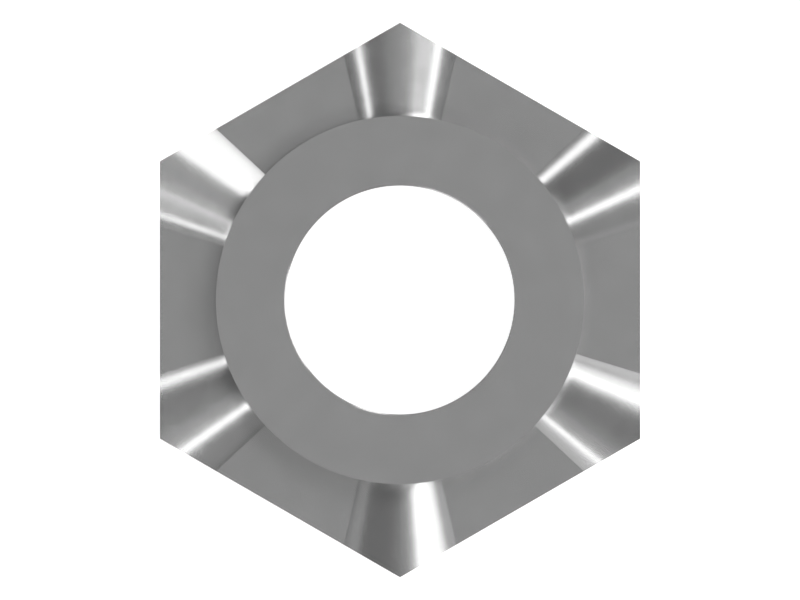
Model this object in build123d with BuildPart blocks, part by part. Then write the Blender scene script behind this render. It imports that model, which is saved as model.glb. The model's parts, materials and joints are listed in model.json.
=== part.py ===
"""Pilot weld nut, M8: a hexagon body with a round pilot and six weld projections.

The nut stands on its plain end, with +Z along the thread axis towards the weld side.
The origin is on the thread axis at the plain end, and two corners of the hexagon
point along +Y and -Y. All sizes are in millimetres.
"""

import os
from math import atan, atan2, cos, degrees, pi, sin, sqrt, tan

from build123d import *

# Hexagon body, with a corner on the +Y axis
side_count = 6
first_corner = 90
across_flats = 14.0
body_height = 6.5

# Pilot: the round collar that centres the nut in the hole of the sheet
pilot_diameter = 10.73
pilot_height = 1.2

# Thread M8 x 1.25: the bore has its minor diameter, a little over the basic one
thread_diameter = 8.0
thread_pitch = 1.25
minor_allowance = 0.02
mouth_edge_break = 0.04

# Weld projections: conical ribs that rise from the thread axis out to the corners,
# with their width and height at the corner
projection_width = 3.72
projection_height = 0.5

# Plain end: corners chamfered down to a round bearing face, and a countersunk thread
bearing_diameter = 13.3
corner_chamfer_angle = 30.0
countersink_oversize = 0.4

# Sizes that follow from the ones above
corner_radius = across_flats / 2 / cos(pi / side_count)
weld_face = body_height
minor_diameter = thread_diameter - 5 * sqrt(3) / 8 * thread_pitch + minor_allowance
countersink_depth = (thread_diameter + countersink_oversize - minor_diameter) / 2
corner_relief = corner_radius - bearing_diameter / 2
corner_relief_height = corner_relief * tan(corner_chamfer_angle * pi / 180)

# Each rib is the crest of a round cone with its apex on the thread axis, in the weld
# face. The cone's axis dips below the face, so that its crest rises by the crest slope
# while its two flanks meet the face at the rib's half angle, seen from above.
rib_half_angle = atan2(projection_width / 2, corner_radius)
crest_slope = atan2(projection_height, corner_radius)
cone_dip = atan((cos(crest_slope) - cos(rib_half_angle)) / sin(crest_slope))
cone_half_angle = cone_dip + crest_slope
cone_length = 2 * corner_radius

with BuildPart() as weld_nut:
    # Six cones fan out to the corners, and stay where they stand above the weld face
    with Locations((0, 0, weld_face)):
        with PolarLocations(0, side_count, start_angle=first_corner):
            Cone(
                bottom_radius=0,
                top_radius=cone_length * tan(cone_half_angle),
                height=cone_length,
                rotation=(0, 90 + degrees(cone_dip), 0),
                align=(Align.CENTER, Align.CENTER, Align.MIN),
            )
    with BuildSketch(Plane.XY.offset(weld_face)):
        RegularPolygon(across_flats / 2, side_count, major_radius=False, rotation=first_corner)
    extrude(amount=corner_radius, mode=Mode.INTERSECT)

    # Body
    with BuildSketch(Plane.XY):
        RegularPolygon(across_flats / 2, side_count, major_radius=False, rotation=first_corner)
    extrude(amount=body_height)

    # Pilot
    with BuildSketch(Plane.XY.offset(weld_face)):
        Circle(pilot_diameter / 2)
    extrude(amount=pilot_height)

    # Corner chamfer of the plain end, turned off round the thread axis
    with BuildSketch(Plane.XZ):
        with BuildLine():
            Polyline(
                (bearing_diameter / 2, 0),
                (corner_radius, 0),
                (corner_radius, corner_relief_height),
                close=True,
            )
        make_face()
    revolve(axis=Axis.Z, mode=Mode.SUBTRACT)

    # Bore, with its countersink in the plain end and a fine edge break in the pilot
    Hole(minor_diameter / 2)
    bore = weld_nut.faces().filter_by(GeomType.CYLINDER).sort_by(SortBy.RADIUS)[0]
    bore_edges = bore.edges().filter_by(GeomType.CIRCLE).sort_by(Axis.Z)
    chamfer(bore_edges[0], countersink_depth)
    chamfer(bore_edges[-1], mouth_edge_break)

weld_nut.part.label = "weld_nut"

os.makedirs("parts", exist_ok=True)
export_step(weld_nut.part, "parts/weld_nut.step")
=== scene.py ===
"""Pilot weld nut, M8, seen straight from its weld side in a soft studio light.

The nut is built in millimetres round the frame's own axis, with its thread cut as real
turns, and is scaled to metres at the end. +Z is the thread axis, the plain end is at z 0,
and two corners of the hexagon point along +Y and -Y.
"""

import json
import logging
from dataclasses import dataclass, field
from enum import Enum, IntEnum
from math import atan, atan2, cos, degrees, hypot, pi, radians, sin, sqrt, tan

import bmesh
import bpy
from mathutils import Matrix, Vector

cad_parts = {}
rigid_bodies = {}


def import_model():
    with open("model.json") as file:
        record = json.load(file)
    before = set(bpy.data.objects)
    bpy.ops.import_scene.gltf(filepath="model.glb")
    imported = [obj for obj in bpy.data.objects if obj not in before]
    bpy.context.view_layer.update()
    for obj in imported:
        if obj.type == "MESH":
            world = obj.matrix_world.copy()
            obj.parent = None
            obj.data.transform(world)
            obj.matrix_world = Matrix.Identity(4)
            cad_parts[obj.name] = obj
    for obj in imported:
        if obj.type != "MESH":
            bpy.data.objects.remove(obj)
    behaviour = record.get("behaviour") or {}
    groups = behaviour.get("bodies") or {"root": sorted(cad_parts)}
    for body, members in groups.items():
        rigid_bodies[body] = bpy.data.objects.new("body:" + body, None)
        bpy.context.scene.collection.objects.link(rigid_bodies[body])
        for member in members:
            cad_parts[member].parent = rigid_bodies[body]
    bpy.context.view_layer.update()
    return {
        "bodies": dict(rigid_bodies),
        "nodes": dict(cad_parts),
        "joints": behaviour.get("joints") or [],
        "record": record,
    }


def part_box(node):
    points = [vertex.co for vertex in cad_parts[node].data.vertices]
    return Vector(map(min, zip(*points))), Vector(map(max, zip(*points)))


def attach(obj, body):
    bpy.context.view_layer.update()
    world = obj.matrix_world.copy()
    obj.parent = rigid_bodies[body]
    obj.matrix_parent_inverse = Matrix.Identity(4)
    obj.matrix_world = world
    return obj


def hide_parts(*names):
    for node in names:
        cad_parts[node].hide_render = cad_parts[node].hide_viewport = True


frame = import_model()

log = logging.getLogger("weld_nut")

MM = 0.001
NODE = "weld_nut"
WHITE = (1.0, 1.0, 1.0, 1.0)
ANGLE_SLACK = 1e-9


class Ring(IntEnum):
    """The rings of the nut's turned section, in order round it."""

    COUNTERSINK = 0
    BEARING = 1
    SIDE_FOOT = 2
    FACE_RIM = 3
    PILOT_FOOT = 4
    PILOT_RIM = 5
    MOUTH_RIM = 6
    MOUTH = 7
    BORE_FOOT = 8


class LampShape(Enum):
    """Outline of a softbox."""

    OVAL = "ELLIPSE"
    STRIP = "RECTANGLE"


def new_object(name: str, bm: bmesh.types.BMesh) -> bpy.types.Object:
    """Turn a bmesh into an object in the scene, and free the bmesh.

    Args:
        name: Name of the object and its mesh.
        bm: The finished bmesh.

    Returns:
        The new object, at the origin.
    """
    mesh = bpy.data.meshes.new(name)
    bm.to_mesh(mesh)
    bm.free()
    obj = bpy.data.objects.new(name, mesh)
    bpy.context.scene.collection.objects.link(obj)
    return obj


def bake_modifiers(obj: bpy.types.Object) -> None:
    """Replace an object's mesh by the one that its modifiers give, and drop them.

    Args:
        obj: The object to bake.
    """
    seen = obj.evaluated_get(bpy.context.evaluated_depsgraph_get())
    mesh = bpy.data.meshes.new_from_object(seen)
    old = obj.data
    obj.modifiers.clear()
    obj.data = mesh
    bpy.data.meshes.remove(old)


@dataclass
class WeldRib:
    """A weld projection: the crest of a round cone with its apex on the thread axis.

    Sizes are in millimetres, at the hexagon's corner.
    """

    width: float
    height: float
    corner_radius: float
    half_angle: float = field(init=False)
    dip: float = field(init=False)
    cone_angle: float = field(init=False)

    def __post_init__(self) -> None:
        """Work out the cone from the rib's width and height."""
        slope = atan2(self.height, self.corner_radius)
        self.half_angle = atan2(self.width / 2, self.corner_radius)
        self.dip = atan((cos(slope) - cos(self.half_angle)) / sin(slope))
        self.cone_angle = self.dip + slope

    def rise(self, radius: float, off_corner: float) -> float:
        """Height of the rib above the weld face.

        Args:
            radius: Distance from the thread axis.
            off_corner: Plan angle from the nearest corner, in radians.

        Returns:
            The height, 0 beside the rib.
        """
        if abs(off_corner) >= self.half_angle - ANGLE_SLACK:
            return 0.0
        # The height over the radius is the upper root of the cone's equation
        dip_cos, dip_sin = cos(self.dip), sin(self.dip)
        cone = cos(self.cone_angle) ** 2
        ahead = cos(off_corner)
        square = dip_sin * dip_sin - cone
        rest = ahead * ahead * dip_cos * dip_cos - cone
        root = ahead * ahead * dip_cos * dip_cos * dip_sin * dip_sin - square * rest
        return max(0.0, radius * (ahead * dip_cos * dip_sin - sqrt(max(0.0, root))) / square)


@dataclass
class ThreadTool:
    """A right-handed thread's cutter, a tooth swept up the bore. Sizes in millimetres."""

    major_radius: float
    pitch: float
    start_height: float
    end_height: float
    root_radius: float
    flank_angle: float = 30.0
    steps_per_turn: int = 144
    withdrawal: float = 0.75
    withdrawal_turns: float = 0.3
    half_tip: float = field(init=False)
    half_root: float = field(init=False)

    def __post_init__(self) -> None:
        """Work out half the tooth's thickness at its tip and at its root."""
        depth = self.major_radius - self.root_radius
        self.half_tip = self.pitch / 16
        self.half_root = self.half_tip + depth * tan(radians(self.flank_angle))

    def build(self) -> bpy.types.Object:
        """Sweep the tooth along its helix and draw it back at the end.

        Returns:
            The tool as a closed solid.
        """
        bm = bmesh.new()
        tooth = [
            bm.verts.new((radius, 0, self.start_height + height))
            for radius, height in (
                (self.root_radius, -self.half_root),
                (self.major_radius, -self.half_tip),
                (self.major_radius, self.half_tip),
                (self.root_radius, self.half_root),
            )
        ]
        face = bm.faces.new(tooth)
        turns = (self.end_height - self.start_height) / self.pitch
        steps = round(turns * self.steps_per_turn)
        bmesh.ops.spin(
            bm,
            geom=[*tooth, *face.edges, face],
            cent=(0, 0, 0),
            axis=(0, 0, 1),
            dvec=(0, 0, (self.end_height - self.start_height) / steps),
            angle=turns * 2 * pi,
            steps=steps,
        )
        self.draw_back(bm)
        bmesh.ops.recalc_face_normals(bm, faces=bm.faces)
        bmesh.ops.triangulate(bm, faces=bm.faces)
        return new_object("thread_tool", bm)

    def draw_back(self, bm: bmesh.types.BMesh) -> None:
        """Draw the last part of the helix towards the axis, as the tap's run-out.

        A vertex is on the lower or the upper flank, whichever of them puts the tooth's
        middle on the helix.

        Args:
            bm: The swept tool.
        """
        full = self.end_height - self.withdrawal_turns * self.pitch
        for vert in bm.verts:
            radius = hypot(vert.co.x, vert.co.y)
            reach = (radius - self.root_radius) / (self.major_radius - self.root_radius)
            half = self.half_tip * reach + (1 - reach) * self.half_root
            turn = atan2(vert.co.y, vert.co.x) / (2 * pi)
            lead = self.start_height + turn * self.pitch
            if_lower = (vert.co.z + half - lead) / self.pitch
            if_upper = (vert.co.z - half - lead) / self.pitch
            is_lower = abs(if_lower - round(if_lower)) < abs(if_upper - round(if_upper))
            middle = vert.co.z + half if is_lower else vert.co.z - half
            if middle > full:
                share = min(1.0, (middle - full) / (self.withdrawal_turns * self.pitch))
                keep = (radius - self.withdrawal * share) / radius
                vert.co.x *= keep
                vert.co.y *= keep


@dataclass
class WeldNut:
    """The nut: hexagon body, pilot, six weld ribs and threaded bore. Sizes in mm.

    Angles are in degrees. The thread's helix runs from thread_start above the plain end
    to thread_stop below the pilot's top. The first corner_steps spokes beside a corner lie
    within corner_angle of it. The slacks are for telling a rib's foot by its place.
    """

    across_flats: float
    body_height: float
    pilot_radius: float
    total_height: float
    bore_radius: float
    rib_width: float = 3.72
    rib_height: float = 0.5
    bearing_radius: float = 6.65
    corner_chamfer: float = 30.0
    countersink_radius: float = 4.2
    thread_radius: float = 4.0
    thread_pitch: float = 1.25
    thread_start: float = -0.67
    thread_stop: float = 0.7
    tool_overlap: float = 0.18
    corner_round: float = 0.04
    mouth_break: float = 0.04
    sides: int = 6
    first_corner: float = 90.0
    steps_per_side: int = 64
    corner_steps: float = 2.0
    corner_angle: float = 0.15
    merge_gap: float = 1e-4
    sliver: float = 1e-5
    place_slack: float = 0.001
    foot_slack: float = 0.05
    crease_angle: float = 25.0
    area_weight: int = 100

    @classmethod
    def from_frame(cls, loaded: dict) -> "WeldNut":
        """Take the nut's main sizes from the frame.


        Returns:
            The nut, not built yet.
        """
        low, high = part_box(NODE)
        mounts = {mount["name"]: mount for mount in loaded["record"]["mounts"]}
        return cls(
            across_flats=round((high.x - low.x) / MM, 3),
            body_height=round(mounts["weld_face"]["pos_m"][2] / MM, 3),
            pilot_radius=mounts["pilot"]["dims"]["r_mm"],
            total_height=round((high.z - low.z) / MM, 3),
            bore_radius=mounts["thread"]["dims"]["r_mm"],
        )

    def __post_init__(self) -> None:
        """Work out the corner radius and the rib's cone."""
        self.corner_radius = self.across_flats / 2 / cos(pi / self.sides)
        self.rib = WeldRib(self.rib_width, self.rib_height, self.corner_radius)

    def side_radius(self, off_corner: float) -> float:
        """Radius of the hexagon, with its slightly rounded corner.

        Args:
            off_corner: Plan angle from the nearest corner, in radians.

        Returns:
            The radius in millimetres.
        """
        half = pi / self.sides
        middle = self.corner_radius - self.corner_round / cos(half)
        flat_from = atan2(
            self.corner_round * sin(half), middle + self.corner_round * cos(half)
        )
        if abs(off_corner) >= flat_from:
            return self.across_flats / 2 / cos(half - abs(off_corner))
        across = middle * sin(off_corner)
        return middle * cos(off_corner) + sqrt(self.corner_round**2 - across**2)

    def spoke_angle(self, step: int) -> float:
        """Place a spoke, so that spokes fall on the rib's feet and close to the corner.

        Args:
            step: Steps from the nearest corner, up to half of a side's.

        Returns:
            Plan angle from the corner, in radians.
        """
        half_steps = self.steps_per_side / 2
        marks = (
            (0.0, 0.0),
            (self.corner_steps, self.corner_angle),
            (half_steps / 2, degrees(self.rib.half_angle)),
            (half_steps, 180 / self.sides),
        )
        size = abs(step)
        for (step_a, angle_a), (step_b, angle_b) in zip(marks, marks[1:]):
            if size <= step_b:
                break
        share = (size - step_a) / (step_b - step_a)
        angle = angle_a + share * (angle_b - angle_a)
        return radians(angle) * (1 if step >= 0 else -1)

    def place(self, ring: Ring, off_corner: float) -> tuple[float, float]:
        """Radius and height of a ring on one spoke.

        Args:
            ring: The ring of the section.
            off_corner: Plan angle of the spoke from the nearest corner, in radians.

        Returns:
            Radius and height in millimetres.
        """
        side = self.side_radius(off_corner)
        face = self.body_height
        top = self.total_height
        chamfer = (side - self.bearing_radius) * tan(radians(self.corner_chamfer))
        countersink = self.countersink_radius - self.bore_radius
        places = {
            Ring.COUNTERSINK: (self.countersink_radius, 0.0),
            Ring.BEARING: (self.bearing_radius, 0.0),
            Ring.SIDE_FOOT: (side, chamfer),
            Ring.FACE_RIM: (side, face + self.rib.rise(side, off_corner)),
            Ring.PILOT_FOOT: (
                self.pilot_radius,
                face + self.rib.rise(self.pilot_radius, off_corner),
            ),
            Ring.PILOT_RIM: (self.pilot_radius, top),
            Ring.MOUTH_RIM: (self.bore_radius + self.mouth_break, top),
            Ring.MOUTH: (self.bore_radius, top - self.mouth_break),
            Ring.BORE_FOOT: (self.bore_radius, countersink),
        }
        return places[ring]

    def turn_blank(self) -> bpy.types.Object:
        """Turn the section round the axis, and press its spokes to the hexagon and ribs.

        Returns:
            The nut with a plain bore.
        """
        bm = bmesh.new()
        ring_of = bm.verts.layers.int.new("ring")
        half_side = pi / self.sides
        section = []
        for ring in Ring:
            radius, height = self.place(ring, half_side)
            vert = bm.verts.new((radius, 0, height))
            vert[ring_of] = int(ring)
            section.append(vert)
        edges = [bm.edges.new((a, b)) for a, b in zip(section, section[1:] + section[:1])]
        bmesh.ops.spin(
            bm,
            geom=[*section, *edges],
            cent=(0, 0, 0),
            axis=(0, 0, 1),
            angle=2 * pi,
            steps=self.steps_per_side * self.sides,
            use_merge=True,
        )
        step = 2 * half_side / self.steps_per_side
        for vert in bm.verts:
            angle = atan2(vert.co.y, vert.co.x) - radians(self.first_corner)
            corner = round(angle / (2 * half_side))
            off = self.spoke_angle(round((angle - corner * 2 * half_side) / step))
            radius, height = self.place(Ring(vert[ring_of]), off)
            turned = radians(self.first_corner) + corner * 2 * half_side + off
            vert.co = (radius * cos(turned), radius * sin(turned), height)
        bmesh.ops.recalc_face_normals(bm, faces=bm.faces)
        return new_object("weld_nut_steel", bm)

    def cut_thread(self, nut: bpy.types.Object) -> None:
        """Cut the thread's turns out of the bore.

        Args:
            nut: The turned blank, which is changed.
        """
        tool = ThreadTool(
            major_radius=self.thread_radius,
            pitch=self.thread_pitch,
            start_height=self.thread_start,
            end_height=self.total_height - self.thread_stop,
            root_radius=self.bore_radius - self.tool_overlap,
        )
        cutter = tool.build()
        cut = nut.modifiers.new("thread", "BOOLEAN")
        cut.operation = "DIFFERENCE"
        cut.solver = "EXACT"
        cut.object = cutter
        bake_modifiers(nut)
        bpy.data.objects.remove(cutter)

    def finish_mesh(self, nut: bpy.types.Object) -> None:
        """Clean the cut mesh, mark its creases, and scale it to metres.

        Args:
            nut: The threaded nut, which is changed.
        """
        bm = bmesh.new()
        bm.from_mesh(nut.data)
        bmesh.ops.remove_doubles(bm, verts=bm.verts, dist=self.merge_gap)
        bmesh.ops.dissolve_degenerate(bm, edges=bm.edges, dist=self.sliver)
        bmesh.ops.triangulate(bm, faces=[face for face in bm.faces if len(face.verts) > 4])
        bmesh.ops.recalc_face_normals(bm, faces=bm.faces)
        limit = radians(self.crease_angle)
        for face in bm.faces:
            face.smooth = True
        for edge in bm.edges:
            sharp = edge.calc_face_angle(0.0) > limit or self.is_rib_foot(edge)
            edge.smooth = not sharp
        open_edges = sum(1 for edge in bm.edges if not edge.is_manifold)
        log.info("nut mesh: %d faces, %d open edges", len(bm.faces), open_edges)
        bmesh.ops.scale(bm, vec=(MM, MM, MM), verts=bm.verts)
        bm.to_mesh(nut.data)
        bm.free()

    def is_rib_foot(self, edge: bmesh.types.BMEdge) -> bool:
        """Tell whether an edge is the foot of a rib's flank on the weld face.

        Args:
            edge: An edge of the nut, in millimetres.

        Returns:
            True for a rib's foot.
        """
        side = 2 * pi / self.sides
        for vert in edge.verts:
            radius = hypot(vert.co.x, vert.co.y)
            angle = atan2(vert.co.y, vert.co.x) - radians(self.first_corner)
            off = abs(angle - round(angle / side) * side)
            on_face = abs(vert.co.z - self.body_height) < self.place_slack
            outside = radius > self.pilot_radius - self.place_slack
            at_foot = abs(off - self.rib.half_angle) < radians(self.foot_slack)
            if not (on_face and outside and at_foot):
                return False
        return True

    def build(self) -> bpy.types.Object:
        """Build the nut in place of its CAD node.

        Returns:
            The finished nut, without a material.
        """
        nut = self.turn_blank()
        self.cut_thread(nut)
        self.finish_mesh(nut)
        shading = nut.modifiers.new("shading", "WEIGHTED_NORMAL")
        shading.keep_sharp = True
        shading.weight = self.area_weight
        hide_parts(NODE)
        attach(nut, "root")
        return nut


@dataclass(frozen=True)
class BrightSteel:
    """Bright, cold-formed low-carbon steel with a smooth satin sheen.

    The bands are the parts of the patches' noise over which tint and sheen change. The
    grain's height is in millimetres.
    """

    colour: tuple[float, float, float] = (0.62, 0.62, 0.62)
    colour_drift: float = 0.01
    metallic: float = 0.8
    roughness: float = 0.2
    roughness_drift: float = 0.012
    patch_scale: float = 1600.0
    patch_detail: float = 4.0
    tint_band: tuple[float, float] = (0.35, 0.65)
    sheen_band: tuple[float, float] = (0.3, 0.7)
    grain_scale: float = 14000.0
    grain_detail: float = 3.0
    grain_depth: float = 0.006
    grain_height: float = 0.02

    def material(self) -> bpy.types.Material:
        """Make the steel's material.

        Returns:
            A node material on Object coordinates.
        """
        mat = bpy.data.materials.new("bright_steel")
        mat.use_nodes = True
        mat.diffuse_color = (*self.colour, 1.0)
        tree = mat.node_tree
        nodes, links = tree.nodes, tree.links
        shader = nodes["Principled BSDF"]
        shader.inputs["Metallic"].default_value = self.metallic
        place = nodes.new("ShaderNodeTexCoord")

        patches = nodes.new("ShaderNodeTexNoise")
        patches.inputs["Scale"].default_value = self.patch_scale
        patches.inputs["Detail"].default_value = self.patch_detail
        links.new(place.outputs["Object"], patches.inputs["Vector"])

        tint = nodes.new("ShaderNodeValToRGB")
        ends = tint.color_ramp.elements
        for end, position, sign in zip(ends, self.tint_band, (-1, 1)):
            end.position = position
            end.color = (*(part + sign * self.colour_drift for part in self.colour), 1.0)
        links.new(patches.outputs["Fac"], tint.inputs["Fac"])
        links.new(tint.outputs["Color"], shader.inputs["Base Color"])

        sheen = nodes.new("ShaderNodeMapRange")
        sheen.inputs["From Min"].default_value = self.sheen_band[0]
        sheen.inputs["From Max"].default_value = self.sheen_band[1]
        sheen.inputs["To Min"].default_value = self.roughness - self.roughness_drift
        sheen.inputs["To Max"].default_value = self.roughness + self.roughness_drift
        links.new(patches.outputs["Fac"], sheen.inputs["Value"])
        links.new(sheen.outputs["Result"], shader.inputs["Roughness"])

        grain = nodes.new("ShaderNodeTexNoise")
        grain.inputs["Scale"].default_value = self.grain_scale
        grain.inputs["Detail"].default_value = self.grain_detail
        links.new(place.outputs["Object"], grain.inputs["Vector"])
        bump = nodes.new("ShaderNodeBump")
        bump.inputs["Strength"].default_value = self.grain_depth
        bump.inputs["Distance"].default_value = self.grain_height * MM
        links.new(grain.outputs["Fac"], bump.inputs["Height"])
        links.new(bump.outputs["Normal"], shader.inputs["Normal"])
        return mat

    def dress(self, obj: bpy.types.Object) -> None:
        """Give an object this finish, and no other.

        Args:
            obj: The object to dress.
        """
        obj.data.materials.clear()
        obj.data.materials.append(self.material())


def area_lamp(
    name: str, shape: LampShape, width: float, depth: float, glow: float
) -> bpy.types.Object:
    """Make an area lamp that shows in reflections but not to the camera.

    Args:
        name: Name of the lamp.
        shape: Its outline.
        width: Its width in metres.
        depth: Its depth in metres.
        glow: The brightness of its front.

    Returns:
        The lamp, at the origin and facing down.
    """
    light = bpy.data.lights.new(name, "AREA")
    light.shape = shape.value
    light.size = width
    light.size_y = depth
    area = width * depth * (pi / 4 if shape is LampShape.OVAL else 1.0)
    light.energy = glow * area * pi
    lamp = bpy.data.objects.new(name, light)
    lamp.visible_camera = False
    bpy.context.scene.collection.objects.link(lamp)
    return lamp


@dataclass(frozen=True)
class Softbox:
    """A softbox hung level under the ceiling.

    Its centre and size are shares of the ceiling's height, so that 1.0 is 45 degrees off
    the vertical. Its turn is in degrees, and the glow is the brightness of its front.
    """

    name: str
    shape: LampShape
    centre: tuple[float, float]
    size: tuple[float, float]
    turn: float
    glow: float

    def hang(self, ceiling: float) -> None:
        """Hang the softbox.

        Args:
            ceiling: Height of the ceiling in metres.
        """
        width, depth = (side * ceiling for side in self.size)
        lamp = area_lamp(self.name, self.shape, width, depth, self.glow)
        lamp.location = (self.centre[0] * ceiling, self.centre[1] * ceiling, ceiling)
        lamp.rotation_euler = (0, 0, radians(self.turn))


@dataclass(frozen=True)
class SidePanel:
    """An upright softbox that stands at floor level and faces the nut.

    Its bearing from +X and its spread and rise, as the nut sees them, are in degrees.
    """

    name: str
    bearing: float
    spread: float
    glow: float
    rise: float = 14.0

    def stand(self, distance: float) -> None:
        """Stand the panel.

        Args:
            distance: Its distance from the nut in metres.
        """
        width = 2 * distance * tan(radians(self.spread) / 2)
        height = distance * tan(radians(self.rise))
        lamp = area_lamp(self.name, LampShape.STRIP, width, height, self.glow)
        bearing = radians(self.bearing)
        lamp.location = (distance * cos(bearing), distance * sin(bearing), height / 2)
        lamp.rotation_euler = (pi / 2, 0, bearing + pi / 2)


@dataclass(frozen=True)
class Studio:
    """The plain studio: pale floor, grey walls, dim ceiling, softboxes and side panels.

    Lengths are in metres, and wall_end and ceiling_start are sines of the elevation. The
    softboxes overlap, so each hangs a little higher than the last: of two lamps in one
    plane, a ray meets only one.
    """

    ceiling: float = 2.5
    softbox_spacing: float = 0.02
    floor_reach: float = 0.6
    floor_edges: int = 64
    floor_glow: float = 0.93
    floor_gloss: float = 0.65
    floor_colour: float = 0.5
    ceiling_glow: float = 0.075
    ceiling_start: float = 0.4
    wall_glow: float = 0.45
    wall_end: float = 0.2
    panel_distance: float = 1.2
    side_panels: tuple[SidePanel, ...] = (
        SidePanel("right_side", 10.0, 50.0, 3.2),
        SidePanel("back_side", 75.0, 15.0, 3.0),
        SidePanel("front_side", 240.0, 35.0, 1.6),
    )
    softboxes: tuple[Softbox, ...] = (
        Softbox("key", LampShape.OVAL, (0.72, 0.68), (1.4, 1.1), 45.0, 1.8),
        Softbox("front_strip", LampShape.STRIP, (0.2, -0.35), (0.3, 0.15), 35.0, 4.7),
        Softbox("left_strip", LampShape.STRIP, (-0.65, -0.6), (1.4, 0.15), -55.0, 3.2),
        Softbox("back_strip", LampShape.STRIP, (-0.6, 1.0), (0.8, 0.35), 55.0, 2.4),
        Softbox("right_panel", LampShape.STRIP, (0.85, 0.0), (1.1, 0.2), 0.0, 2.7),
        Softbox("right_strip", LampShape.STRIP, (0.7, -0.1), (0.1, 0.5), 50.0, 4.1),
        Softbox("overhead", LampShape.STRIP, (0.1, 0.0), (0.4, 1.0), -5.0, 0.06),
        Softbox("back_left", LampShape.STRIP, (-1.1, 0.5), (1.0, 0.65), 60.0, 0.27),
        Softbox("low_left", LampShape.STRIP, (-1.0, -1.1), (1.5, 0.8), -75.0, 0.6),
        Softbox("front_left", LampShape.STRIP, (-0.35, -0.65), (0.7, 0.2), 55.0, 1.9),
        Softbox("low_right", LampShape.STRIP, (0.3, -0.7), (1.6, 1.1), -55.0, 0.17),
        Softbox("back_right", LampShape.STRIP, (0.1, 0.7), (1.2, 0.1), -40.0, 3.1),
        Softbox("back_panel", LampShape.STRIP, (0.5, 1.55), (0.5, 0.5), 20.0, 0.9),
        Softbox("right_far", LampShape.STRIP, (1.6, 0.35), (0.5, 0.45), 15.0, 0.4),
        Softbox("front_far", LampShape.STRIP, (0.45, -1.55), (0.5, 0.5), -15.0, 0.25),
    )

    def floor(self) -> None:
        """Lay the pale floor at z 0."""
        bm = bmesh.new()
        bmesh.ops.create_circle(
            bm, cap_ends=True, segments=self.floor_edges, radius=self.floor_reach
        )
        floor = new_object("floor", bm)
        floor.data.materials.append(self.floor_material())

    def floor_material(self) -> bpy.types.Material:
        """Make the floor's material, which glows to the camera, in gloss and through glass.

        The light that falls on the floor adds to its glow, but for the nut's shadow.

        Returns:
            The material.
        """
        mat = bpy.data.materials.new("pale_floor")
        mat.use_nodes = True
        nodes, links = mat.node_tree.nodes, mat.node_tree.links
        shader = nodes["Principled BSDF"]
        shader.inputs["Base Color"].default_value = (*(self.floor_colour,) * 3, 1.0)
        shader.inputs["Roughness"].default_value = 1.0
        shader.inputs["Specular IOR Level"].default_value = 0.0
        shader.inputs["Emission Color"].default_value = WHITE
        path = nodes.new("ShaderNodeLightPath")
        mirrored = nodes.new("ShaderNodeMath")
        mirrored.operation = "MAXIMUM"
        links.new(path.outputs["Is Glossy Ray"], mirrored.inputs[0])
        links.new(path.outputs["Is Transmission Ray"], mirrored.inputs[1])
        gloss = nodes.new("ShaderNodeMath")
        gloss.operation = "MULTIPLY"
        gloss.inputs[1].default_value = self.floor_gloss
        links.new(mirrored.outputs["Value"], gloss.inputs[0])
        glow = nodes.new("ShaderNodeMath")
        glow.operation = "MULTIPLY_ADD"
        glow.inputs[1].default_value = self.floor_glow
        links.new(path.outputs["Is Camera Ray"], glow.inputs[0])
        links.new(gloss.outputs["Value"], glow.inputs[2])
        links.new(glow.outputs["Value"], shader.inputs["Emission Strength"])
        return mat

    def world(self) -> None:
        """Make the room: white to the camera, else grey walls and a dim ceiling."""
        world = bpy.data.worlds.new("studio")
        world.use_nodes = True
        nodes, links = world.node_tree.nodes, world.node_tree.links
        nodes.clear()
        output = nodes.new("ShaderNodeOutputWorld")
        room = nodes.new("ShaderNodeBackground")
        room.inputs["Color"].default_value = WHITE
        white = nodes.new("ShaderNodeBackground")
        white.inputs["Color"].default_value = WHITE
        path = nodes.new("ShaderNodeLightPath")
        mix = nodes.new("ShaderNodeMixShader")
        links.new(path.outputs["Is Camera Ray"], mix.inputs["Fac"])
        links.new(room.outputs["Background"], mix.inputs[1])
        links.new(white.outputs["Background"], mix.inputs[2])
        links.new(mix.outputs["Shader"], output.inputs["Surface"])

        place = nodes.new("ShaderNodeTexCoord")
        split = nodes.new("ShaderNodeSeparateXYZ")
        links.new(place.outputs["Generated"], split.inputs["Vector"])
        height = nodes.new("ShaderNodeMapRange")
        height.interpolation_type = "SMOOTHSTEP"
        height.inputs["From Min"].default_value = self.wall_end
        height.inputs["From Max"].default_value = self.ceiling_start
        height.inputs["To Min"].default_value = self.wall_glow
        height.inputs["To Max"].default_value = self.ceiling_glow
        links.new(split.outputs["Z"], height.inputs["Value"])
        links.new(height.outputs["Result"], room.inputs["Strength"])
        bpy.context.scene.world = world

    def build(self) -> None:
        """Set up the floor, the room, the softboxes and the side panels."""
        self.floor()
        self.world()
        for place, softbox in enumerate(self.softboxes):
            softbox.hang(self.ceiling + place * self.softbox_spacing)
        for panel in self.side_panels:
            panel.stand(self.panel_distance)


@dataclass(frozen=True)
class TopCamera:
    """A camera straight above the nut, with +Y up in the picture.

    Its height and the nearest and farthest distance that it sees are in metres.
    """

    picture_width: int = 800
    millimetres_per_pixel: float = 0.029142
    height: float = 0.06
    nearest: float = 0.001
    farthest: float = 1.0

    def place(self) -> None:
        """Place the camera and make it the scene's."""
        camera = bpy.data.cameras.new("camera")
        camera.type = "ORTHO"
        camera.ortho_scale = self.picture_width * self.millimetres_per_pixel * MM
        camera.clip_start = self.nearest
        camera.clip_end = self.farthest
        obj = bpy.data.objects.new("camera", camera)
        obj.location = (0, 0, self.height)
        bpy.context.scene.collection.objects.link(obj)
        bpy.context.scene.camera = obj


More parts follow.
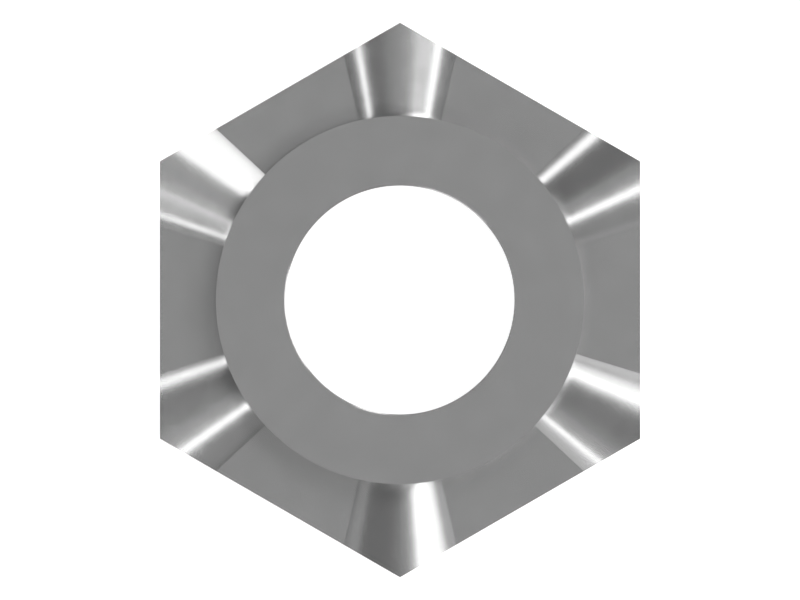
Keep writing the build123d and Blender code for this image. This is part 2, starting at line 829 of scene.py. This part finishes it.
def main() -> None:
    """Build the camera, the nut, its finish and the studio."""
    logging.basicConfig(level=logging.INFO, format="%(name)s: %(message)s")
    bpy.context.scene.view_settings.view_transform = "Standard"
    TopCamera().place()
    nut = WeldNut.from_frame(frame).build()
    BrightSteel().dress(nut)
    log.info("%s built", nut.name)
    Studio().build()
    log.info("studio lit")


if __name__ == "__main__":
    main()
